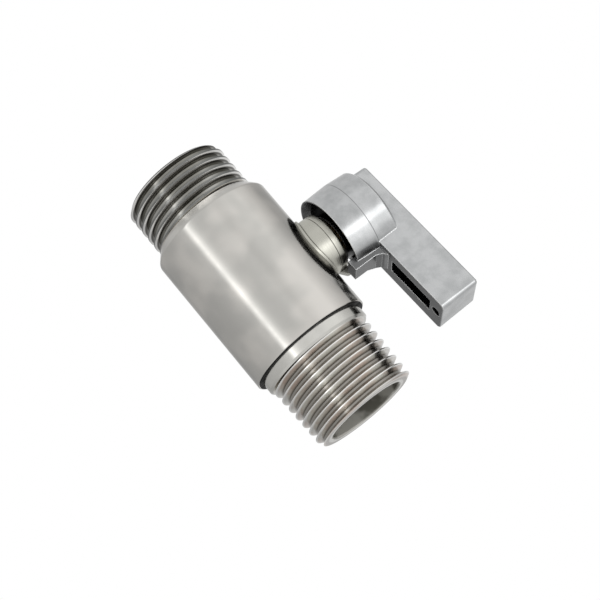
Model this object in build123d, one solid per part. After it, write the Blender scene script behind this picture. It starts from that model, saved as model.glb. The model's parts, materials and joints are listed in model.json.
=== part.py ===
"""Mini ball valve, male to male, with a quarter-turn lever handle. Millimetres.

The origin is where the flow axis crosses the stem axis, at the ball's centre. +X runs along the flow from the
inlet to the outlet, and +Z runs up the stem towards the handle. The handle, stem and ball stand a few degrees
short of fully open.
"""
import os
from math import atan, degrees

from build123d import *

# ---- Flow line ------------------------------------------------------------
INLET_END_X = -26.4
OUTLET_END_X = 29.25
BORE_R = 7.5            # bore at both mouths
PORT_R = 5.0            # reduced port through the ball and beside it
PORT_START_X = 10.4     # where the port widens towards each mouth
BORE_START_X = 13.0     # where it has reached the full bore
MOUTH_CHAMFER = 0.35

# ---- Barrel ---------------------------------------------------------------
BARREL_R = 12.0
BARREL_LEFT_X = -14.8
BARREL_RIGHT_X = 13.85
BARREL_EDGE = 0.1
SHOULDER_ROUND = 0.8    # where the shoulder's cone runs into the barrel
SHOULDER_LEFT_X = -16.6
SHOULDER_R = 10.53      # just clear of the thread crests
CHAMBER_R = 8.6         # room round the ball and seats
SEAT_BACK_X = 7.9
JOINT_R = 9.9           # screwed joint between barrel and end connector
CROSS_HOLE_R = 5.5      # side hole that takes the neck bushing

# ---- Pipe threads: 1/2 inch, 14 turns to the inch, 55 degrees -------------
PITCH = 25.4 / 14
THREAD_DEPTH = 1.13
ROOT_FLAT = 0.36
ROOT_SINK = 0.12        # how far a thread ridge reaches into its core
INLET_CREST_R = 10.45
INLET_CREST_FLAT = 0.34
INLET_PHASE_X = -27.187     # a crest's place on the +Y side
INLET_CHAMFER = 0.7
OUTLET_CREST_R = 10.55      # at the collar
OUTLET_CREST_FLAT = 0.16
OUTLET_TAPER = 1 / 32       # radius lost per millimetre
TAPER_ANGLE = degrees(atan(OUTLET_TAPER))
OUTLET_PHASE_X = 17.323
OUTLET_CHAMFER = 0.4

# ---- Collar of the end connector ------------------------------------------
COLLAR_R = 11.0
COLLAR_LEFT_X = 13.98
COLLAR_RIGHT_X = 16.3
COLLAR_CHAMFER = 0.4
SEAL_R = 11.7

# ---- Ball and seats -------------------------------------------------------
BALL_R = 8.0
SEAT_GAP = 0.05         # running clearance between ball and seats
SEAT_FRONT_X = 4.7
SEAT_INNER_R = 5.2
SEAT_OUTER_R = 8.56
SLOT_WIDTH = 3.0        # drive slot across the top of the ball
SLOT_FLOOR_Z = 5.95

# ---- Neck bushing ---------------------------------------------------------
NECK_R = 5.9
NECK_BOTTOM_Z = 8.72
NECK_LINE_Z = 13.85     # fine turned line round the neck
NECK_LINE = 0.1
NECK_EDGE_Z = 15.0      # where its top chamfer starts
NECK_TOP_Z = 15.35
NECK_TOP_R = 5.6
LIP_R = 6.42
LIP_HEIGHT = 0.45       # above the barrel
CREVICE_R = (5.72, 6.14)    # groove between the neck and its lip
CREVICE_HEIGHT = 0.1        # of the groove's floor above the barrel
POCKET_R = 4.5          # counterbore for the stem's flange and washer
POCKET_TOP_Z = 9.9
STEM_HOLE_R = 3.05
EAR_R = 7.4             # stop ear on the neck's side
EAR_START = 4.5         # degrees round the stem from +X
EAR_END = 26.0
EAR_BOTTOM_Z = 13.4
EAR_TOP_Z = 15.2
EAR_SLOPE = 1.4         # how far its underside rises from neck to tip
EAR_ROOT = 0.5          # how far it reaches into the neck

# ---- Stem -----------------------------------------------------------------
STEM_R = 3.0
FLANGE_R = 4.4
FLANGE_BOTTOM_Z = 8.15
FLANGE_TOP_Z = 9.3
BLADE_THICKNESS = 2.8
BLADE_R = 3.2
BLADE_BOTTOM_Z = 6.1
DRIVE_START_Z = 15.8    # double-D end starts here
DRIVE_FLAT = 2.3        # distance from the axis to each flat
STEM_TOP_Z = 22.4
STEM_CHAMFER = 0.3
TAP_R = 1.5
TAP_BOTTOM_Z = 16.9
WASHER_THICKNESS = 0.55
ORING_Z = (11.2, 13.2)
ORING_R = 0.45          # radius of the rubber's section
ORING_GROOVE_R = 2.12
ORING_GROOVE_WIDTH = 1.1
ORING_GAP = 0.02

# ---- Handle, in its own frame: its bar runs along +X ----------------------
HANDLE_YAW = -7.5       # degrees at rest
BAR_BACK_X = -6.6
BAR_TIP_X = 25.05
BAR_HALF_WIDTH = 4.2
BAR_BOTTOM_Z = 20.8     # also the casting's parting plane
BAR_TOP_Z = 29.3
BAR_DRAFT = 1.6         # degrees
BAR_CORNER_R = 1.0
BAR_TOP_ROUND = 0.5
BAR_LOWER_ROUND = 0.2
BOSS_PARTING_R = 8.72
BOSS_TOP_R = 8.5
BOSS_TOP_Z = 25.6
BOSS_CHAMFER = 0.5
RIM_R = 8.45
RIM_Z = 15.7
RIM_LAND = 0.25         # flat edge of the rim
RIM_BEVEL_Z = 17.0
SKIRT_INNER_R = 7.3
SKIRT_ROOF_Z = 20.3
HUB_R = 4.8
HUB_BOTTOM_Z = 16.0
WINDOW_START = 5.0      # degrees round the stem where the skirt is cut away
WINDOW_END = 120.5
WINDOW_TOP_Z = 19.0
LUG_BOTTOM_Z = 14.2
OPEN_LUG_X = (6.85, 9.05)
OPEN_LUG_Y = (-3.1, 0.5)
OPEN_LUG_SPREAD = [(0.5, 17.1), (1.8, 18.9), (2.2, 20.8)]   # its far side widens towards the bar, as (y, z)
OPEN_LUG_WEB = [(9.05, 19.0), (9.5, 20.1), (10.4, 20.8)]    # its front runs out under the bar, as (x, z)
CLOSED_LUG = (120.5, 137.0)     # degrees round the stem
CLOSED_LUG_INNER_R = 7.15
SLOT_X = (11.4, 21.8)
SLOT_Y = (-2.1, 1.4)
SLOT_ROOF_Z = 27.0
SLOT_CORNER_R = 0.3
TIP_POCKET_X = 23.4
TIP_POCKET_R = 1.0
TIP_POCKET_ROOF_Z = 22.6
DRIVE_CLEARANCE = 0.03
FLOOR_Z = 23.5          # seat of the screw's washer
SHANK_HOLE_R = 1.75
RECESS_R = 2.75

# ---- Handle screw, M3 -----------------------------------------------------
SCREW_BOTTOM_Z = 17.4
SCREW_WASHER = 0.5
SCREW_WASHER_OUTER_R = 2.65
SCREW_WASHER_INNER_R = 1.65
HEAD_R = 2.5
HEAD_HEIGHT = 1.9
HEAD_ROUND = 0.6
CROSS_LENGTH = 2.9
CROSS_WIDTH = 0.75
CROSS_DEPTH = 1.1

REACH = 40.0            # longer than any piece, for cutting tools
CLEAR_R = 13.0          # clear of every turned surface
MARGIN = 1.0            # how far a cutting tool passes a face


def ring_profile(points):
    """A closed face in the XZ plane from (radius, height) corners."""
    outline = Polyline(*[(radius, 0, height) for radius, height in points], close=True)
    return make_face(outline)


def turned(points):
    """A solid of revolution about +Z from (radius, z) corners."""
    return revolve(ring_profile(points), Axis.Z, 360)


def turned_x(points):
    """A solid of revolution about +X from (radius, x) corners."""
    return Plane(origin=(0, 0, 0), x_dir=(0, 1, 0), z_dir=(1, 0, 0)) * turned(points)


def rod(radius, low_z, high_z):
    """A round bar about +Z."""
    return Pos(0, 0, (low_z + high_z) / 2) * Cylinder(radius, high_z - low_z)


def rod_x(radius, low_x, high_x):
    """A round bar about +X."""
    return Pos((low_x + high_x) / 2, 0, 0) * Rot(0, 90, 0) * Cylinder(radius, high_x - low_x)


def block(x_range, y_range, z_range):
    """A box from its ranges."""
    sizes = [high - low for low, high in (x_range, y_range, z_range)]
    centre = [(low + high) / 2 for low, high in (x_range, y_range, z_range)]
    return Pos(*centre) * Box(*sizes)


def sector(inner_r, outer_r, start, end, low_z, high_z):
    """Part of a tube about +Z, between two angles in degrees from +X."""
    profile = ring_profile([(inner_r, low_z), (outer_r, low_z), (outer_r, high_z), (inner_r, high_z)])
    return Rot(0, 0, start) * revolve(profile, Axis.Z, end - start)


def thread_ridge(crest_r, crest_flat, start, length, taper_angle, towards_outlet):
    """One right-hand thread ridge wound about the X axis, with crest_r at start.

    It begins on the +Y side at x = start and winds towards the outlet or the inlet.
    """
    flank = (PITCH - crest_flat - ROOT_FLAT) / 2
    widen = flank * ROOT_SINK / THREAD_DEPTH
    half_root = crest_flat / 2 + flank + widen
    path = Helix(PITCH, length, crest_r, cone_angle=taper_angle)
    tooth = [
        (0, -crest_flat / 2),
        (0, crest_flat / 2),
        (-THREAD_DEPTH - ROOT_SINK, half_root),
        (-THREAD_DEPTH - ROOT_SINK, -half_root),
    ]
    section_plane = Plane(origin=path @ 0, x_dir=(1, 0, 0), z_dir=(0, -1, 0))
    section = section_plane * make_face(Polyline(*tooth, close=True))
    ridge = sweep(section, path=path, is_frenet=True)
    direction = 1 if towards_outlet else -1
    frame = Plane(origin=(start, 0, 0), x_dir=(0, 1, 0), z_dir=(direction, 0, 0))
    return frame * ridge


def outlet_radius(x):
    """The tapered thread's crest radius at x."""
    return OUTLET_CREST_R - (x - COLLAR_RIGHT_X) * OUTLET_TAPER


def end_chamfer(crest_r, end_x, chamfer, root_x):
    """Everything inside an end face and its chamfer, back to the thread's root."""
    side = 1 if end_x > 0 else -1
    return turned_x([
        (0, end_x),
        (crest_r - chamfer, end_x),
        (CLEAR_R, end_x - side * (CLEAR_R - crest_r + chamfer)),
        (CLEAR_R, root_x),
        (0, root_x),
    ])


def inlet_stub():
    """The parallel thread on its solid core, from the end face to the barrel's shoulder."""
    start = INLET_PHASE_X
    length = SHOULDER_LEFT_X - start + PITCH
    core = rod_x(INLET_CREST_R - THREAD_DEPTH, start - PITCH, start + length + PITCH)
    stub = core + thread_ridge(INLET_CREST_R, INLET_CREST_FLAT, start, length, 0, True)
    return stub & end_chamfer(INLET_CREST_R, INLET_END_X, INLET_CHAMFER, SHOULDER_LEFT_X)


def outlet_stub():
    """The tapered thread on its solid core, from the end face to the collar."""
    turns = int((OUTLET_END_X - OUTLET_PHASE_X) / PITCH) + 1
    start = OUTLET_PHASE_X + turns * PITCH
    length = start - COLLAR_RIGHT_X + PITCH
    low, high = start - length - PITCH, start + PITCH
    core = turned_x([
        (0, low),
        (outlet_radius(low) - THREAD_DEPTH, low),
        (outlet_radius(high) - THREAD_DEPTH, high),
        (0, high),
    ])
    stub = core + thread_ridge(outlet_radius(start), OUTLET_CREST_FLAT, start, length, TAPER_ANGLE, False)
    return stub & end_chamfer(outlet_radius(OUTLET_END_X), OUTLET_END_X, OUTLET_CHAMFER, COLLAR_RIGHT_X)


def flow_hole(mouth_x):
    """The hole from the middle of the valve out through one mouth."""
    side = 1 if mouth_x > 0 else -1
    return turned_x([
        (0, 0),
        (PORT_R, 0),
        (PORT_R, side * PORT_START_X),
        (BORE_R, side * BORE_START_X),
        (BORE_R, mouth_x - side * MOUTH_CHAMFER),
        (BORE_R + MARGIN, mouth_x + side * (MARGIN - MOUTH_CHAMFER)),
        (0, mouth_x + side * (MARGIN - MOUTH_CHAMFER)),
    ])


def make_valve_body():
    """Barrel with the inlet thread on its left end, bored for ball, seats and end connector."""
    barrel = turned_x([
        (0, SHOULDER_LEFT_X),
        (SHOULDER_R, SHOULDER_LEFT_X),
        (BARREL_R, BARREL_LEFT_X),
        (BARREL_R, BARREL_RIGHT_X - BARREL_EDGE),
        (BARREL_R - BARREL_EDGE, BARREL_RIGHT_X),
        (0, BARREL_RIGHT_X),
    ])
    shoulder_edge = barrel.edges().filter_by(GeomType.CIRCLE).sort_by(Axis.X)[1]
    barrel = fillet(shoulder_edge, SHOULDER_ROUND)
    body = barrel + inlet_stub()
    body -= flow_hole(INLET_END_X)
    body -= rod_x(CHAMBER_R, -SEAT_BACK_X, SEAT_BACK_X)
    body -= rod_x(JOINT_R, SEAT_BACK_X, BARREL_RIGHT_X + MARGIN)
    body -= rod(CROSS_HOLE_R, 0, BARREL_R + MARGIN)
    return body


def make_end_connector():
    """Screwed insert, collar and tapered outlet thread."""
    insert = turned_x([
        (0, SEAT_BACK_X),
        (JOINT_R, SEAT_BACK_X),
        (JOINT_R, COLLAR_LEFT_X),
        (COLLAR_R, COLLAR_LEFT_X),
        (COLLAR_R, COLLAR_RIGHT_X - COLLAR_CHAMFER),
        (COLLAR_R - COLLAR_CHAMFER, COLLAR_RIGHT_X),
        (0, COLLAR_RIGHT_X),
    ])
    return insert + outlet_stub() - flow_hole(OUTLET_END_X)


def make_body_joint_seal():
    """Flat ring between the barrel's end and the collar."""
    return rod_x(SEAL_R, BARREL_RIGHT_X, COLLAR_LEFT_X) - rod_x(JOINT_R, BARREL_RIGHT_X, COLLAR_LEFT_X)


def make_inlet_seat():
    """Seat on the inlet side, with a spherical face that holds the ball."""
    ring = rod_x(SEAT_OUTER_R, -SEAT_BACK_X, -SEAT_FRONT_X) - rod_x(SEAT_INNER_R, -SEAT_BACK_X, -SEAT_FRONT_X)
    return ring - Sphere(BALL_R + SEAT_GAP)


def make_ball():
    """Ball with its port and drive slot, turned with the handle."""
    ball = Sphere(BALL_R) - rod_x(PORT_R, -REACH, REACH)
    half = SLOT_WIDTH / 2
    ball -= block((-half, half), (-REACH, REACH), (SLOT_FLOOR_Z, REACH))
    return Rot(0, 0, HANDLE_YAW) * ball


def stop_ear():
    """Ear on the neck's side that the handle's lugs meet."""
    profile = ring_profile([
        (NECK_R - EAR_ROOT, EAR_BOTTOM_Z - EAR_ROOT),
        (EAR_R, EAR_BOTTOM_Z + EAR_SLOPE),
        (EAR_R, EAR_TOP_Z),
        (NECK_TOP_R, EAR_TOP_Z),
    ])
    return Rot(0, 0, EAR_START) * revolve(profile, Axis.Z, EAR_END - EAR_START)


def make_neck_bushing():
    """Neck with its saddle lip and stop ear, bored for the stem."""
    neck = turned([
        (0, 0),
        (NECK_R, 0),
        (NECK_R, NECK_LINE_Z - NECK_LINE / 2),
        (NECK_R - NECK_LINE, NECK_LINE_Z),
        (NECK_R, NECK_LINE_Z + NECK_LINE / 2),
        (NECK_R, NECK_EDGE_Z),
        (NECK_TOP_R, NECK_TOP_Z),
        (0, NECK_TOP_Z),
    ])
    lip = rod(LIP_R, 0, NECK_TOP_Z) & rod_x(BARREL_R + LIP_HEIGHT, -REACH, REACH)
    inner_r, outer_r = CREVICE_R
    crevice = rod(outer_r, 0, NECK_LINE_Z - MARGIN) - rod(inner_r, 0, NECK_LINE_Z - MARGIN)
    crevice &= rod_x(BARREL_R + LIP_HEIGHT, -REACH, REACH)
    crevice -= rod_x(BARREL_R + CREVICE_HEIGHT, -REACH, REACH)
    above_barrel = neck + lip - crevice + stop_ear() - rod_x(BARREL_R, -REACH, REACH)
    bushing = above_barrel + rod(CROSS_HOLE_R, NECK_BOTTOM_Z, BARREL_R)
    bushing -= rod(POCKET_R, 0, POCKET_TOP_Z)
    bushing -= rod(STEM_HOLE_R, 0, NECK_TOP_Z + MARGIN)
    return bushing


def double_d(radius, flat, low_z, high_z):
    """A round bar with two flats, facing along Y."""
    return rod(radius, low_z, high_z) & block((-REACH, REACH), (-flat, flat), (low_z, high_z))


def make_stem():
    """Blade, flange, grooved shaft and double-D end, turned with the handle."""
    points = [(0, FLANGE_BOTTOM_Z), (FLANGE_R, FLANGE_BOTTOM_Z)]
    points += [(FLANGE_R, FLANGE_TOP_Z), (STEM_R, FLANGE_TOP_Z)]
    for centre_z in ORING_Z:
        low, high = centre_z - ORING_GROOVE_WIDTH / 2, centre_z + ORING_GROOVE_WIDTH / 2
        points += [(STEM_R, low), (ORING_GROOVE_R, low), (ORING_GROOVE_R, high), (STEM_R, high)]
    points += [(STEM_R, DRIVE_START_Z), (0, DRIVE_START_Z)]
    drive = double_d(STEM_R, DRIVE_FLAT, DRIVE_START_Z, STEM_TOP_Z)
    tip = turned([
        (0, DRIVE_START_Z),
        (STEM_R, DRIVE_START_Z),
        (STEM_R, STEM_TOP_Z - STEM_CHAMFER),
        (STEM_R - STEM_CHAMFER, STEM_TOP_Z),
        (0, STEM_TOP_Z),
    ])
    half = BLADE_THICKNESS / 2
    blade = rod(BLADE_R, BLADE_BOTTOM_Z, FLANGE_BOTTOM_Z)
    blade &= block((-half, half), (-REACH, REACH), (BLADE_BOTTOM_Z, FLANGE_BOTTOM_Z))
    stem = turned(points) + (drive & tip) + blade - rod(TAP_R, TAP_BOTTOM_Z, STEM_TOP_Z + MARGIN)
    return Rot(0, 0, HANDLE_YAW) * stem


def make_stem_thrust_washer():
    """Washer between the stem's flange and the bushing's shoulder."""
    top_z = FLANGE_TOP_Z + WASHER_THICKNESS
    return rod(FLANGE_R, FLANGE_TOP_Z, top_z) - rod(STEM_R, FLANGE_TOP_Z, top_z)


def make_stem_oring(centre_z):
    """O-ring in one of the stem's grooves."""
    ring_r = STEM_HOLE_R - ORING_GAP - ORING_R
    return Pos(0, 0, centre_z) * Torus(ring_r, ORING_R)


def handle_bar():
    """The bar, narrower at the top by its casting draft."""
    length = BAR_TIP_X - BAR_BACK_X
    middle = (BAR_TIP_X + BAR_BACK_X) / 2
    outline = Pos(middle, 0, BAR_BOTTOM_Z) * RectangleRounded(length, 2 * BAR_HALF_WIDTH, BAR_CORNER_R)
    bar = extrude(outline, BAR_TOP_Z - BAR_BOTTOM_Z, taper=BAR_DRAFT)
    bar = fillet(bar.faces().sort_by(Axis.Z)[-1].edges(), BAR_TOP_ROUND)
    return fillet(bar.faces().sort_by(Axis.Z)[0].edges(), BAR_LOWER_ROUND)


def handle_boss():
    """The round boss and its skirt, hollow below, with a hub round the stem."""
    shell = turned([
        (0, RIM_Z),
        (RIM_R, RIM_Z),
        (BOSS_PARTING_R, BAR_BOTTOM_Z),
        (BOSS_TOP_R, BOSS_TOP_Z - BOSS_CHAMFER),
        (BOSS_TOP_R - BOSS_CHAMFER, BOSS_TOP_Z),
        (0, BOSS_TOP_Z),
    ])
    cavity = turned([
        (0, RIM_Z - MARGIN),
        (RIM_R - RIM_LAND, RIM_Z - MARGIN),
        (RIM_R - RIM_LAND, RIM_Z),
        (SKIRT_INNER_R, RIM_BEVEL_Z),
        (SKIRT_INNER_R, SKIRT_ROOF_Z),
        (0, SKIRT_ROOF_Z),
    ])
    window = sector(HUB_R, BOSS_PARTING_R + MARGIN, WINDOW_START, WINDOW_END, RIM_Z - MARGIN, WINDOW_TOP_Z)
    return shell - cavity - window + rod(HUB_R, HUB_BOTTOM_Z, SKIRT_ROOF_Z)


def open_lug():
    """The lug under the bar's root, wider and deeper where it runs into the bar."""
    low_x, high_x = OPEN_LUG_X
    low_y, high_y = OPEN_LUG_Y
    end_view = [(low_y, LUG_BOTTOM_Z), (high_y, LUG_BOTTOM_Z), *OPEN_LUG_SPREAD, (low_y, BAR_BOTTOM_Z)]
    side_view = [(low_x, LUG_BOTTOM_Z), (high_x, LUG_BOTTOM_Z), *OPEN_LUG_WEB, (low_x, BAR_BOTTOM_Z)]
    end_face = make_face(Polyline(*[(0, y, z) for y, z in end_view], close=True))
    side_face = make_face(Polyline(*[(x, -REACH, z) for x, z in side_view], close=True))
    return extrude(end_face, REACH, dir=(1, 0, 0)) & extrude(side_face, 2 * REACH, dir=(0, 1, 0))


def stop_lugs():
    """The lugs that hang below the rim at each end of the skirt."""
    return open_lug() + sector(CLOSED_LUG_INNER_R, RIM_R, *CLOSED_LUG, LUG_BOTTOM_Z, BAR_BOTTOM_Z)


def handle_cuts():
    """The slot and tip pocket under the bar, the drive hole and the screw's recess."""
    slot = block(SLOT_X, SLOT_Y, (BAR_BOTTOM_Z - MARGIN, SLOT_ROOF_Z))
    slot = fillet(slot.edges().filter_by(Axis.Z), SLOT_CORNER_R)
    pocket_y = (SLOT_Y[0] + SLOT_Y[1]) / 2
    pocket = Pos(TIP_POCKET_X, pocket_y, 0) * rod(TIP_POCKET_R, BAR_BOTTOM_Z - MARGIN, TIP_POCKET_ROOF_Z)
    drive_r = STEM_R + DRIVE_CLEARANCE
    drive_flat = DRIVE_FLAT + DRIVE_CLEARANCE
    drive = double_d(drive_r, drive_flat, HUB_BOTTOM_Z - MARGIN, STEM_TOP_Z + DRIVE_CLEARANCE)
    shank = rod(SHANK_HOLE_R, STEM_TOP_Z, FLOOR_Z)
    recess = rod(RECESS_R, FLOOR_Z, BAR_TOP_Z + MARGIN)
    return [slot, pocket, drive, shank, recess]


def make_handle():
    """The cast lever, turned to its angle at rest."""
    handle = handle_bar() + handle_boss() + stop_lugs()
    for cut in handle_cuts():
        handle -= cut
    return Rot(0, 0, HANDLE_YAW) * handle


def make_handle_screw_washer():
    """Plain washer under the screw's head."""
    top_z = FLOOR_Z + SCREW_WASHER
    return rod(SCREW_WASHER_OUTER_R, FLOOR_Z, top_z) - rod(SCREW_WASHER_INNER_R, FLOOR_Z, top_z)


def make_handle_screw():
    """Pan-head screw with a cross recess."""
    head_z = FLOOR_Z + SCREW_WASHER
    head = rod(HEAD_R, head_z, head_z + HEAD_HEIGHT)
    head = fillet(head.faces().sort_by(Axis.Z)[-1].edges(), HEAD_ROUND)
    top_z = head_z + HEAD_HEIGHT
    cross = Pos(0, 0, top_z - CROSS_DEPTH / 2) * Box(CROSS_LENGTH, CROSS_WIDTH, CROSS_DEPTH)
    cross += Pos(0, 0, top_z - CROSS_DEPTH / 2) * Box(CROSS_WIDTH, CROSS_LENGTH, CROSS_DEPTH)
    screw = head + rod(TAP_R, SCREW_BOTTOM_Z, head_z) - cross
    return Rot(0, 0, HANDLE_YAW) * screw


def make_pieces():
    """Every piece by its node name."""
    return {
        "valve_body": make_valve_body(),
        "neck_bushing": make_neck_bushing(),
        "end_connector": make_end_connector(),
        "body_joint_seal": make_body_joint_seal(),
        "seat_ring_inlet": make_inlet_seat(),
        "seat_ring_outlet": mirror(make_inlet_seat(), Plane.YZ),
        "ball": make_ball(),
        "stem": make_stem(),
        "stem_thrust_washer": make_stem_thrust_washer(),
        "stem_oring_lower": make_stem_oring(ORING_Z[0]),
        "stem_oring_upper": make_stem_oring(ORING_Z[1]),
        "handle": make_handle(),
        "handle_screw": make_handle_screw(),
        "handle_screw_washer": make_handle_screw_washer(),
    }


os.makedirs("parts", exist_ok=True)
for name, piece in make_pieces().items():
    export_step(piece, f"parts/{name}.step")
    print(name, len(piece.solids()), round(piece.volume, 1))
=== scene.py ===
"""Mini ball valve: materials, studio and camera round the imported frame. Metres."""

import json
import math

import bpy
from mathutils import Matrix, Vector


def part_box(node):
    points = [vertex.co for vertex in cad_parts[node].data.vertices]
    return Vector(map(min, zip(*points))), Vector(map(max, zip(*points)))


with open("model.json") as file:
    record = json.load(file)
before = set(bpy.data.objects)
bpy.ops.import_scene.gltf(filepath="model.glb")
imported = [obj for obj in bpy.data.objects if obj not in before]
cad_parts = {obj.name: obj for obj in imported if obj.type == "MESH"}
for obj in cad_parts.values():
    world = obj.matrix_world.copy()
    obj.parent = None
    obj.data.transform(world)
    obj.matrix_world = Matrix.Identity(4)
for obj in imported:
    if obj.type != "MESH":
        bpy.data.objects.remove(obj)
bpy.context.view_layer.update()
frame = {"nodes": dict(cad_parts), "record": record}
nodes = frame["nodes"]
mounts = {mount["name"]: mount for mount in frame["record"]["mounts"]}

MM = 0.001
MICRON = 0.000001

# ---- Camera: the photograph's viewing angle, in degrees -------------------
AZIMUTH = 14.38             # from the front towards the outlet
ELEVATION = -16.44          # seen from below the flow axis
ROLL = 53.91
DISTANCE = 0.271
SIDE_OFFSET = 0.00667
UP_OFFSET = -0.00214
LENS = 90.09                # millimetres, as the sensor's width is
SENSOR = 36
NEAREST_SEEN = 0.01

# ---- Studio ---------------------------------------------------------------
FLOOR_Z = -0.105
FLOOR_SIZE = 16.0
WHITE = (1.0, 1.0, 1.0)     # what the camera sees past the valve and the floor
# Brightness of the room by angle about the flow axis, in degrees: 0 is behind the valve, 90 overhead,
# 180 in front and -90 underfoot.
ROOM = [
    (-180, 0.86), (-160, 0.80), (-148, 0.84), (-140, 1.00), (-134, 1.40), (-129, 1.90), (-126, 1.30),
    (-121, 0.78), (-105, 0.66),
    (-80, 0.57), (-50, 0.51), (-28, 0.46), (-20, 0.40), (-6, 0.40), (8, 0.62), (30, 0.72), (50, 0.46),
    (75, 0.46), (92, 0.60), (108, 0.76), (124, 0.95), (148, 0.92), (166, 0.80), (180, 0.87),
]
SIDE_WALLS = 0.74                       # brightness to the far left and right
WALL_START, WALL_FULL = 0.5, 0.95       # cosines of the angles to the flow axis where the walls fade in
# Upright soft lights in front and to the right: azimuth, half-width at full strength, half-width in all
# (degrees), and power.
STRIPS = [(-65, 4, 15, 0.75), (-52, 4, 42, 0.55)]
STRIP_LOW, STRIP_HIGH = -0.15, 0.75     # sines of the elevations they span

# ---- Thread geometry, from the record -------------------------------------
INLET_CREST_R = mounts["inlet_thread"]["dims"]["r_mm"] * MM
OUTLET_CREST_R = mounts["outlet_thread"]["dims"]["r_mm"] * MM      # halfway along the taper
SHOULDER_X = mounts["inlet_thread"]["pos_m"][0] + mounts["inlet_thread"]["dims"]["length_mm"] * MM
OUTLET_END_X = mounts["outlet_thread"]["pos_m"][0]
COLLAR_X = OUTLET_END_X - mounts["outlet_thread"]["dims"]["length_mm"] * MM
THREAD_DEPTH = 1.13 * MM
TAPER = 1 / 32
BORE_R = 7.5 * MM
WALL = 0.8 * MM             # metal deeper than this under a thread's root is the bore's

# ---- Places on the CAD parts ----------------------------------------------
LIP_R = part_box("neck_bushing")[1][1]
BOSS_R = 8.72 * MM
PARTING_Z = 20.8 * MM
ROOT_START_X, ROOT_FULL_X = 5.8 * MM, 7.4 * MM      # the painted shade, on rougher metal, under the root of the bar
NECK_SHADE_Z = 4 * MM, 8 * MM                            # the painted shade round the neck's foot fades in over these heights

# ---- Finishes: pairs run from one end of a blend to the other -------------
BARREL_NICKEL = (0.575, 0.565, 0.535), (0.725, 0.70, 0.66)
# Painted shade on the barrel round the foot of the neck, under the handle.
NECK_FOOT_SHADE = (0.10, 0.095, 0.075)
# Inlet thread colours by height: painted shade in the roots, on the flanks and on the crests, and a painted
# glint along the crest edges.
INLET_ROOT_SHADE = (0.27, 0.265, 0.24), (0.44, 0.435, 0.41)
INLET_FLANK_SHADE = (0.14, 0.135, 0.125)
INLET_CREST_GLINT = (1.0, 0.99, 0.97)
INLET_CREST_SHADE = (0.16, 0.165, 0.16), (0.30, 0.30, 0.29)
COLLAR_NICKEL = (0.66, 0.65, 0.61), (0.76, 0.75, 0.71)
# Outlet thread: painted shade in the roots and a painted highlight on the crests.
OUTLET_ROOT_SHADE = (0.36, 0.34, 0.31)
OUTLET_FLANK = (0.66, 0.59, 0.54), (0.74, 0.73, 0.69)
OUTLET_CREST_HIGHLIGHT = (0.98, 0.97, 0.95)
OUTLET_BORE = (0.16, 0.155, 0.13), (0.46, 0.45, 0.41)
BORE_METALLIC = 0.35        # duller than clean metal
NECK_NICKEL = (0.52, 0.515, 0.455), (0.62, 0.61, 0.55)
# Painted shade for the crevice at the neck's foot.
NECK_CREVICE_SHADE = (0.08, 0.075, 0.06)
CHROME = (0.49, 0.50, 0.503), (0.60, 0.608, 0.612)
CHROME_PARTING = (0.12, 0.12, 0.12)
# Painted shade for the handle's underside, the bar's root and recesses.
CHROME_SHADE = (0.085, 0.085, 0.085)
# Painted highlight along the handle's edges.
CHROME_EDGE_HIGHLIGHT = (0.93, 0.94, 0.94)
BALL_CHROME = (0.60, 0.605, 0.61), (0.66, 0.665, 0.67)
BRASS = (0.45, 0.30, 0.13), (0.74, 0.55, 0.27)
ZINC = (0.60, 0.62, 0.65), (0.42, 0.42, 0.42)
WHITE_PTFE = (0.78, 0.78, 0.75), (0.88, 0.88, 0.86)
RUBBER = (0.005, 0.005, 0.005), (0.014, 0.014, 0.014)
RUBBER_SPECULAR = 0.15
PAPER = (0.86, 0.86, 0.86), (0.90, 0.90, 0.90)


def camera_axes():
    """The camera's right, up and back directions."""
    az, el, roll = (math.radians(v) for v in (AZIMUTH, ELEVATION, ROLL))
    back = Vector((math.sin(az) * math.cos(el), -math.cos(az) * math.cos(el), math.sin(el)))
    level = Vector((math.cos(az), math.sin(az), 0))
    upright = back.cross(level)
    right = level * math.cos(roll) + upright * math.sin(roll)
    up = upright * math.cos(roll) - level * math.sin(roll)
    return right, up, back


def make_camera():
    """The camera, looking at the ball's centre a little off axis."""
    right, up, back = camera_axes()
    data = bpy.data.cameras.new("camera")
    data.lens = LENS
    data.sensor_width = SENSOR
    data.clip_start = NEAREST_SEEN
    camera = bpy.data.objects.new("camera", data)
    bpy.context.scene.collection.objects.link(camera)
    place = back * DISTANCE + right * SIDE_OFFSET + up * UP_OFFSET
    turn = Matrix((right, up, back)).transposed().to_4x4()
    camera.matrix_world = Matrix.Translation(place) @ turn
    bpy.context.scene.camera = camera


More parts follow.
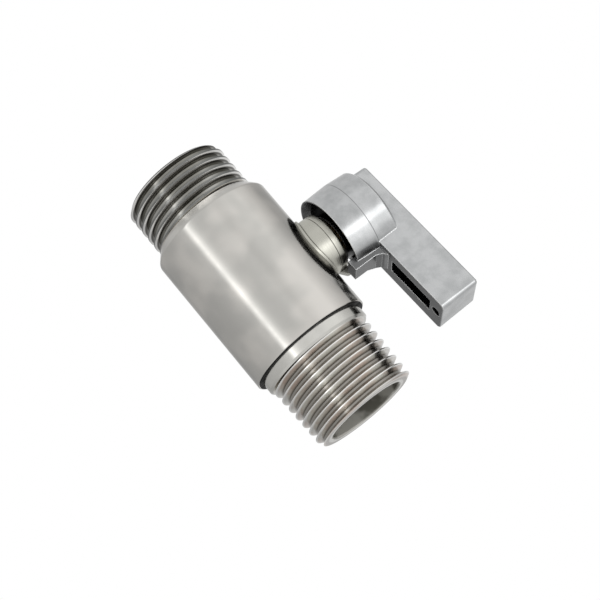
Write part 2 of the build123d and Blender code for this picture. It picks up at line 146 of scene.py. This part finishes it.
class Shader:
    """A node tree with short ways to add and join nodes."""

    def __init__(self, tree):
        self.tree = tree

    def node(self, kind, **values):
        """A node with its named attributes set."""
        made = self.tree.nodes.new(kind)
        for key, value in values.items():
            setattr(made, key, value)
        return made

    def feed(self, socket, value):
        """Links an output to a socket, or sets the socket to a number or vector."""
        if isinstance(value, bpy.types.NodeSocket):
            self.tree.links.new(value, socket)
        else:
            socket.default_value = value

    def math(self, operation, *values):
        """A math node's result."""
        made = self.node("ShaderNodeMath", operation=operation)
        for socket, value in zip(made.inputs, values):
            self.feed(socket, value)
        return made.outputs[0]

    def ramp(self, value, low, high, start=0.0, end=1.0, smooth=True):
        """A value rising from start to end as the input goes from low to high."""
        made = self.node("ShaderNodeMapRange")
        made.interpolation_type = "SMOOTHSTEP" if smooth else "LINEAR"
        self.feed(made.inputs["Value"], value)
        made.inputs["From Min"].default_value = low
        made.inputs["From Max"].default_value = high
        made.inputs["To Min"].default_value = start
        made.inputs["To Max"].default_value = end
        return made.outputs["Result"]

    def mix(self, factor, first, second):
        """A blend of two colours."""
        made = self.node("ShaderNodeMix", data_type="RGBA")
        colour_sockets = [socket for socket in made.inputs if socket.type == "RGBA"]
        self.feed(made.inputs["Factor"], factor)
        for socket, colour in zip(colour_sockets, (first, second)):
            self.feed(socket, (*colour, 1) if isinstance(colour, tuple) else colour)
        return [socket for socket in made.outputs if socket.type == "RGBA"][0]

    def place(self):
        """Object coordinates, in metres."""
        return self.node("ShaderNodeTexCoord").outputs["Object"]

    def split(self, vector):
        """A vector's x, y and z."""
        made = self.node("ShaderNodeSeparateXYZ")
        self.feed(made.inputs[0], vector)
        return made.outputs

    def noise(self, where, per_metre, stretch=(1, 1, 1), detail=3, roughness=0.5):
        """Noise with its own scale along each axis."""
        spread = self.node("ShaderNodeMapping")
        spread.inputs["Scale"].default_value = [per_metre * share for share in stretch]
        self.feed(spread.inputs["Vector"], where)
        made = self.node("ShaderNodeTexNoise")
        made.inputs["Scale"].default_value = 1
        made.inputs["Detail"].default_value = detail
        made.inputs["Roughness"].default_value = roughness
        self.feed(made.inputs["Vector"], spread.outputs[0])
        return made.outputs["Fac"]

    def cover(self, reach):
        """1 in the open and 0 deep in a recess, within a reach in metres."""
        made = self.node("ShaderNodeAmbientOcclusion", samples=8)
        made.inputs["Distance"].default_value = reach
        return made.outputs["AO"]

    def soft_edges(self, edge_radius):
        """A normal that rounds sharp edges over."""
        made = self.node("ShaderNodeBevel", samples=4)
        made.inputs["Radius"].default_value = edge_radius
        return made.outputs["Normal"]

    def bump(self, *layers, normal=None):
        """A normal bent by several (height, depth in metres) layers."""
        for height, depth in layers:
            made = self.node("ShaderNodeBump")
            made.inputs["Distance"].default_value = depth
            self.feed(made.inputs["Height"], height)
            if normal:
                self.feed(made.inputs["Normal"], normal)
            normal = made.outputs["Normal"]
        return normal


def new_material(name, metallic=1.0):
    """A material, its principled shader and a Shader to build with."""
    material = bpy.data.materials.new(name)
    material.use_nodes = True
    principled = material.node_tree.nodes["Principled BSDF"]
    principled.inputs["Metallic"].default_value = metallic
    return material, principled.inputs, Shader(material.node_tree)


def radius(s, first, second):
    """Distance from an axis, from the two coordinates across it."""
    squares = [s.math("MULTIPLY", value, value) for value in (first, second)]
    return s.math("SQRT", s.math("ADD", *squares))


def thread_zones(s, x, y, z, crest_r, crest_x, taper):
    """How far each point is thread rather than bore, and its height from 0 at the root to 1 at the crest.

    The crest has the radius crest_r at crest_x, and the taper is the radius it loses per metre of x.
    """
    drop = s.math("MULTIPLY", s.math("SUBTRACT", x, crest_x), taper)
    surface = s.math("ADD", radius(s, y, z), drop)
    root_r = crest_r - THREAD_DEPTH
    outside = s.ramp(surface, root_r - WALL, root_r - WALL / 2)
    return outside, s.ramp(surface, root_r, crest_r, smooth=False)


def bore_zone(s, y, z):
    """1 on the wall of a mouth's bore and 0 outside it."""
    return s.ramp(radius(s, y, z), BORE_R + 0.3 * MM, BORE_R + 0.1 * MM)


def body_nickel():
    """Satin nickel: clouded on the barrel with painted shade round the neck's foot; on the thread, painted
    shade on the roots, flanks and crests and a painted highlight along each crest's edge.
    """
    material, inputs, s = new_material("nickel_plate")
    where = s.place()
    x, y, z = s.split(where)
    cloud = s.noise(where, per_metre=110, detail=2)
    mottle = s.noise(where, per_metre=420, detail=4)
    rings = s.noise(where, per_metre=5200, stretch=(1, 0.012, 0.012), detail=2)
    grain = s.noise(where, per_metre=2400, detail=2)

    outside, height = thread_zones(s, x, y, z, INLET_CREST_R, SHOULDER_X, 0.0)
    thread = s.math("MULTIPLY", outside, s.ramp(x, SHOULDER_X, SHOULDER_X - 0.1 * MM))
    # Painted light and shade by height on the inlet thread: shaded roots and flanks, a painted glint near the
    # crest and a shaded crest top.
    flank = s.mix(s.ramp(cloud, 0.4, 0.6), *INLET_ROOT_SHADE)
    flank = s.mix(s.ramp(height, 0.25, 0.45), flank, INLET_FLANK_SHADE)
    flank = s.mix(s.ramp(height, 0.62, 0.72), flank, INLET_CREST_GLINT)
    ridge = s.mix(s.ramp(height, 0.97, 0.99), flank, s.mix(mottle, *INLET_CREST_SHADE))

    plain = s.mix(s.ramp(cloud, 0.36, 0.64), *BARREL_NICKEL)
    # Painted shade on the barrel round the neck's foot, under the handle.
    near_neck = s.ramp(radius(s, x, y), LIP_R + 2.8 * MM, LIP_R + 0.4 * MM)
    near_neck = s.math("MULTIPLY", near_neck, s.ramp(z, *NECK_SHADE_Z))
    barrel = s.mix(s.math("MULTIPLY", near_neck, 0.75), plain, NECK_FOOT_SHADE)
    s.feed(inputs["Base Color"], s.mix(thread, barrel, ridge))

    satin = s.ramp(mottle, 0.3, 0.7, 0.12, 0.165)
    satin = s.math("ADD", satin, s.math("MULTIPLY", bore_zone(s, y, z), 0.14))
    s.feed(inputs["Roughness"], s.math("ADD", satin, s.ramp(rings, 0.35, 0.65, -0.015, 0.015)))
    s.feed(inputs["Normal"], s.bump((rings, 1.2 * MICRON), (grain, 1.0 * MICRON)))
    return material


def connector_nickel():
    """Brighter nickel: painted shade in the thread's roots, faintly warm flanks, a painted highlight on the
    crests and a bore with dull patches.
    """
    material, inputs, s = new_material("nickel_plate_connector")
    where = s.place()
    x, y, z = s.split(where)
    cloud = s.noise(where, per_metre=190, detail=3)
    mottle = s.noise(where, per_metre=700, detail=4)
    rings = s.noise(where, per_metre=6000, stretch=(1, 0.02, 0.02), detail=2)

    outside, height = thread_zones(s, x, y, z, OUTLET_CREST_R, (COLLAR_X + OUTLET_END_X) / 2, TAPER)
    thread = s.math("MULTIPLY", outside, s.ramp(x, COLLAR_X, COLLAR_X + 0.1 * MM))
    flank = s.mix(s.ramp(cloud, 0.4, 0.6), *OUTLET_FLANK)
    # Painted shade in the thread's roots and a painted highlight on its crests.
    flank = s.mix(s.ramp(height, 0.05, 0.4), OUTLET_ROOT_SHADE, flank)
    ridge = s.mix(s.ramp(height, 0.75, 0.92), flank, OUTLET_CREST_HIGHLIGHT)

    bore = s.math("MULTIPLY", bore_zone(s, y, z), s.ramp(x, COLLAR_X, COLLAR_X + 6 * MM))
    patches = s.mix(s.ramp(cloud, 0.42, 0.58), *OUTLET_BORE)
    plain = s.mix(bore, s.mix(mottle, *COLLAR_NICKEL), patches)
    s.feed(inputs["Base Color"], s.mix(thread, plain, ridge))
    s.feed(inputs["Metallic"], s.ramp(bore, 0.0, 1.0, 1.0, BORE_METALLIC))
    satin = s.ramp(mottle, 0.3, 0.7, 0.13, 0.19)
    s.feed(inputs["Roughness"], s.math("ADD", satin, s.math("MULTIPLY", bore, 0.2)))
    s.feed(inputs["Normal"], s.bump((rings, 1.6 * MICRON), (mottle, 3 * MICRON)))
    return material


def neck_nickel():
    """Nickel over a turned surface, a little greener than the barrel's, with painted shade in the crevice at
    its foot.
    """
    material, inputs, s = new_material("nickel_plate_neck")
    where = s.place()
    mottle = s.noise(where, per_metre=500, detail=4)
    rings = s.noise(where, per_metre=7000, stretch=(0.02, 0.02, 1), detail=2)
    # Painted shade in the crevice, from ambient occlusion.
    in_the_open = s.ramp(s.cover(1.2 * MM), 0.45, 0.85)
    s.feed(inputs["Base Color"], s.mix(in_the_open, NECK_CREVICE_SHADE, s.mix(mottle, *NECK_NICKEL)))
    s.feed(inputs["Roughness"], s.ramp(rings, 0.3, 0.7, 0.26, 0.34))
    relief = s.bump((rings, 1.6 * MICRON), (mottle, 3 * MICRON), normal=s.soft_edges(0.1 * MM))
    s.feed(inputs["Normal"], relief)
    return material


def cast_chrome():
    """Chrome over a die casting: orange peel, rubs, painted highlights along the edges, a parting line, and
    painted shade on the underside and in recesses, which are also rougher.
    """
    material, inputs, s = new_material("chromed_zinc")
    where = s.place()
    x, y, z = s.split(where)
    mottle = s.noise(where, per_metre=330, detail=5, roughness=0.6)
    peel = s.noise(where, per_metre=900, detail=2)
    rubs = s.noise(where, per_metre=1400, stretch=(0.3, 1, 1), detail=4)

    geometry = s.node("ShaderNodeNewGeometry")
    rounded = s.soft_edges(0.25 * MM)
    straightness = s.node("ShaderNodeVectorMath", operation="DOT_PRODUCT")
    s.feed(straightness.inputs[0], rounded)
    s.feed(straightness.inputs[1], geometry.outputs["Normal"])
    # Painted shade in recesses, from ambient occlusion; these are also made rougher.
    recess = s.ramp(s.cover(6 * MM), 0.75, 0.25)
    # Painted highlight along the rounded edges, fading out in recesses.
    edge_highlight = s.ramp(straightness.outputs["Value"], 0.995, 0.93)
    edge_highlight = s.math("MULTIPLY", edge_highlight, s.ramp(recess, 0.6, 0.2))

    upward = s.split(geometry.outputs["True Normal"])[2]
    # Painted shade on downward faces and under the bar's root below the parting line.
    underside = s.ramp(upward, -0.6, -0.95)
    below_parting = s.ramp(z, PARTING_Z, PARTING_Z - 0.6 * MM)
    bar_root = s.math("MULTIPLY", s.ramp(x, ROOT_START_X, ROOT_FULL_X), below_parting)
    underside_shade = s.math("MULTIPLY", s.math("MAXIMUM", underside, bar_root), 0.76)
    shaded_and_dull = s.math("MAXIMUM", underside_shade, recess)

    on_boss = s.math("COMPARE", radius(s, x, y), BOSS_R, 0.1 * MM)
    off_parting = s.math("ABSOLUTE", s.math("SUBTRACT", z, PARTING_Z))
    parting = s.math("MULTIPLY", on_boss, s.ramp(off_parting, 0.1 * MM, 0.03 * MM))

    chrome = s.mix(s.ramp(mottle, 0.35, 0.65), *CHROME)
    chrome = s.mix(s.math("MULTIPLY", parting, 0.6), chrome, CHROME_PARTING)
    chrome = s.mix(shaded_and_dull, chrome, CHROME_SHADE)
    s.feed(inputs["Base Color"], s.mix(edge_highlight, chrome, CHROME_EDGE_HIGHLIGHT))
    haze = s.math("ADD", s.ramp(mottle, 0.35, 0.7, 0.11, 0.17), s.ramp(rubs, 0.62, 0.75, 0.0, 0.08))
    s.feed(inputs["Roughness"], s.math("ADD", haze, s.math("MULTIPLY", shaded_and_dull, 0.15)))
    relief = s.bump((peel, 5 * MICRON), (mottle, 6 * MICRON), (parting, 20 * MICRON), normal=rounded)
    s.feed(inputs["Normal"], relief)
    return material


def polished_ball():
    """Polished chrome with fine turning marks round the port's axis."""
    material, inputs, s = new_material("polished_chrome")
    where = s.place()
    mottle = s.noise(where, per_metre=400, detail=3)
    swirl = s.noise(where, per_metre=3000, stretch=(1, 0.05, 0.05))
    s.feed(inputs["Base Color"], s.mix(mottle, *BALL_CHROME))
    s.feed(inputs["Roughness"], s.ramp(swirl, 0.3, 0.7, 0.05, 0.11))
    s.feed(inputs["Normal"], s.bump((swirl, 0.6 * MICRON)))
    return material


def turned_brass():
    """Machined brass, dulled in patches, with turning marks round the stem."""
    material, inputs, s = new_material("bare_brass")
    where = s.place()
    tarnish = s.noise(where, per_metre=600, detail=5)
    rings = s.noise(where, per_metre=8000, stretch=(0.02, 0.02, 1), detail=2)
    s.feed(inputs["Base Color"], s.mix(tarnish, *BRASS))
    s.feed(inputs["Roughness"], s.ramp(rings, 0.3, 0.7, 0.2, 0.34))
    s.feed(inputs["Normal"], s.bump((rings, 2 * MICRON)))
    return material


def zinc_plate():
    """Bright zinc with a bluish cast and small dull spots."""
    material, inputs, s = new_material("zinc_plated_steel")
    spots = s.noise(s.place(), per_metre=1500, detail=5, roughness=0.7)
    s.feed(inputs["Base Color"], s.mix(s.ramp(spots, 0.45, 0.7), *ZINC))
    s.feed(inputs["Roughness"], s.ramp(spots, 0.4, 0.7, 0.2, 0.42))
    s.feed(inputs["Normal"], s.bump((spots, 4 * MICRON)))
    return material


def ptfe():
    """Turned white PTFE, waxy and slightly marbled."""
    material, inputs, s = new_material("ptfe", metallic=0.0)
    where = s.place()
    marble = s.noise(where, per_metre=350, detail=4)
    rings = s.noise(where, per_metre=5000, stretch=(0.05, 1, 1))
    s.feed(inputs["Base Color"], s.mix(marble, *WHITE_PTFE))
    s.feed(inputs["Roughness"], s.ramp(rings, 0.3, 0.7, 0.38, 0.5))
    s.feed(inputs["Normal"], s.bump((rings, 5 * MICRON)))
    return material


def black_rubber():
    """Moulded black rubber with a dusty bloom."""
    material, inputs, s = new_material("black_rubber", metallic=0.0)
    bloom = s.noise(s.place(), per_metre=900, detail=5)
    inputs["Specular IOR Level"].default_value = RUBBER_SPECULAR
    s.feed(inputs["Base Color"], s.mix(bloom, *RUBBER))
    s.feed(inputs["Roughness"], s.ramp(bloom, 0.3, 0.7, 0.5, 0.7))
    s.feed(inputs["Normal"], s.bump((bloom, 10 * MICRON)))
    return material


def floor_paper():
    """Matt off-white paper with a faint tooth."""
    material, inputs, s = new_material("floor_paper", metallic=0.0)
    tooth = s.noise(s.place(), per_metre=120, detail=4)
    s.feed(inputs["Base Color"], s.mix(tooth, *PAPER))
    s.feed(inputs["Roughness"], s.ramp(tooth, 0.3, 0.7, 0.8, 0.95))
    s.feed(inputs["Normal"], s.bump((tooth, 50 * MICRON)))
    return material


def assign(material, *names):
    """Puts one material on CAD nodes."""
    for name in names:
        materials = nodes[name].data.materials
        materials.clear()
        materials.append(material)


def make_floor():
    """A wide pale floor under the valve, left out of its reflections."""
    half = FLOOR_SIZE / 2
    corners = [(-half, -half, FLOOR_Z), (half, -half, FLOOR_Z), (half, half, FLOOR_Z), (-half, half, FLOOR_Z)]
    mesh = bpy.data.meshes.new("floor")
    mesh.from_pydata(corners, [], [(0, 1, 2, 3)])
    floor = bpy.data.objects.new("floor", mesh)
    floor.data.materials.append(floor_paper())
    floor.visible_glossy = False
    bpy.context.scene.collection.objects.link(floor)


def make_world():
    """A white surround to look at, and for the metal a soft room of greys with two upright strip lights."""
    world = bpy.data.worlds.new("studio")
    bpy.context.scene.world = world
    world.use_nodes = True
    s = Shader(world.node_tree)
    x, y, z = s.split(s.node("ShaderNodeTexCoord").outputs["Generated"])
    turn = s.ramp(s.math("ARCTAN2", z, y), -math.pi, math.pi, smooth=False)
    room = s.node("ShaderNodeValToRGB")
    stops = room.color_ramp.elements
    while len(stops) < len(ROOM):
        stops.new(0.5)
    for stop, (angle, level) in zip(stops, ROOM):
        stop.position = (angle + 180) / 360
        stop.color = (level, level, level, 1)
    s.feed(room.inputs[0], turn)
    sideways = s.ramp(s.math("ABSOLUTE", x), WALL_START, WALL_FULL)
    level = s.mix(sideways, room.outputs["Color"], (SIDE_WALLS,) * 3)
    height = s.math("MULTIPLY", s.ramp(z, STRIP_LOW, 0.0), s.ramp(z, STRIP_HIGH, STRIP_HIGH / 2))
    azimuth = s.math("ARCTAN2", y, x)
    for middle, inner, outer, power in STRIPS:
        away = s.math("ABSOLUTE", s.math("SUBTRACT", azimuth, math.radians(middle)))
        strip = s.math("MULTIPLY", s.ramp(away, math.radians(outer), math.radians(inner)), height)
        level = s.math("ADD", level, s.math("MULTIPLY", strip, power))
    camera_ray = s.node("ShaderNodeLightPath").outputs["Is Camera Ray"]
    background = world.node_tree.nodes["Background"]
    s.feed(background.inputs["Color"], s.mix(camera_ray, level, WHITE))


bpy.context.scene.view_settings.view_transform = "Standard"
make_camera()
make_world()
make_floor()
assign(body_nickel(), "valve_body")
assign(connector_nickel(), "end_connector")
assign(neck_nickel(), "neck_bushing")
assign(cast_chrome(), "handle")
assign(polished_ball(), "ball")
assign(turned_brass(), "stem")
assign(zinc_plate(), "handle_screw", "handle_screw_washer")
assign(ptfe(), "seat_ring_inlet", "seat_ring_outlet", "stem_thrust_washer")
assign(black_rubber(), "body_joint_seal", "stem_oring_lower", "stem_oring_upper")
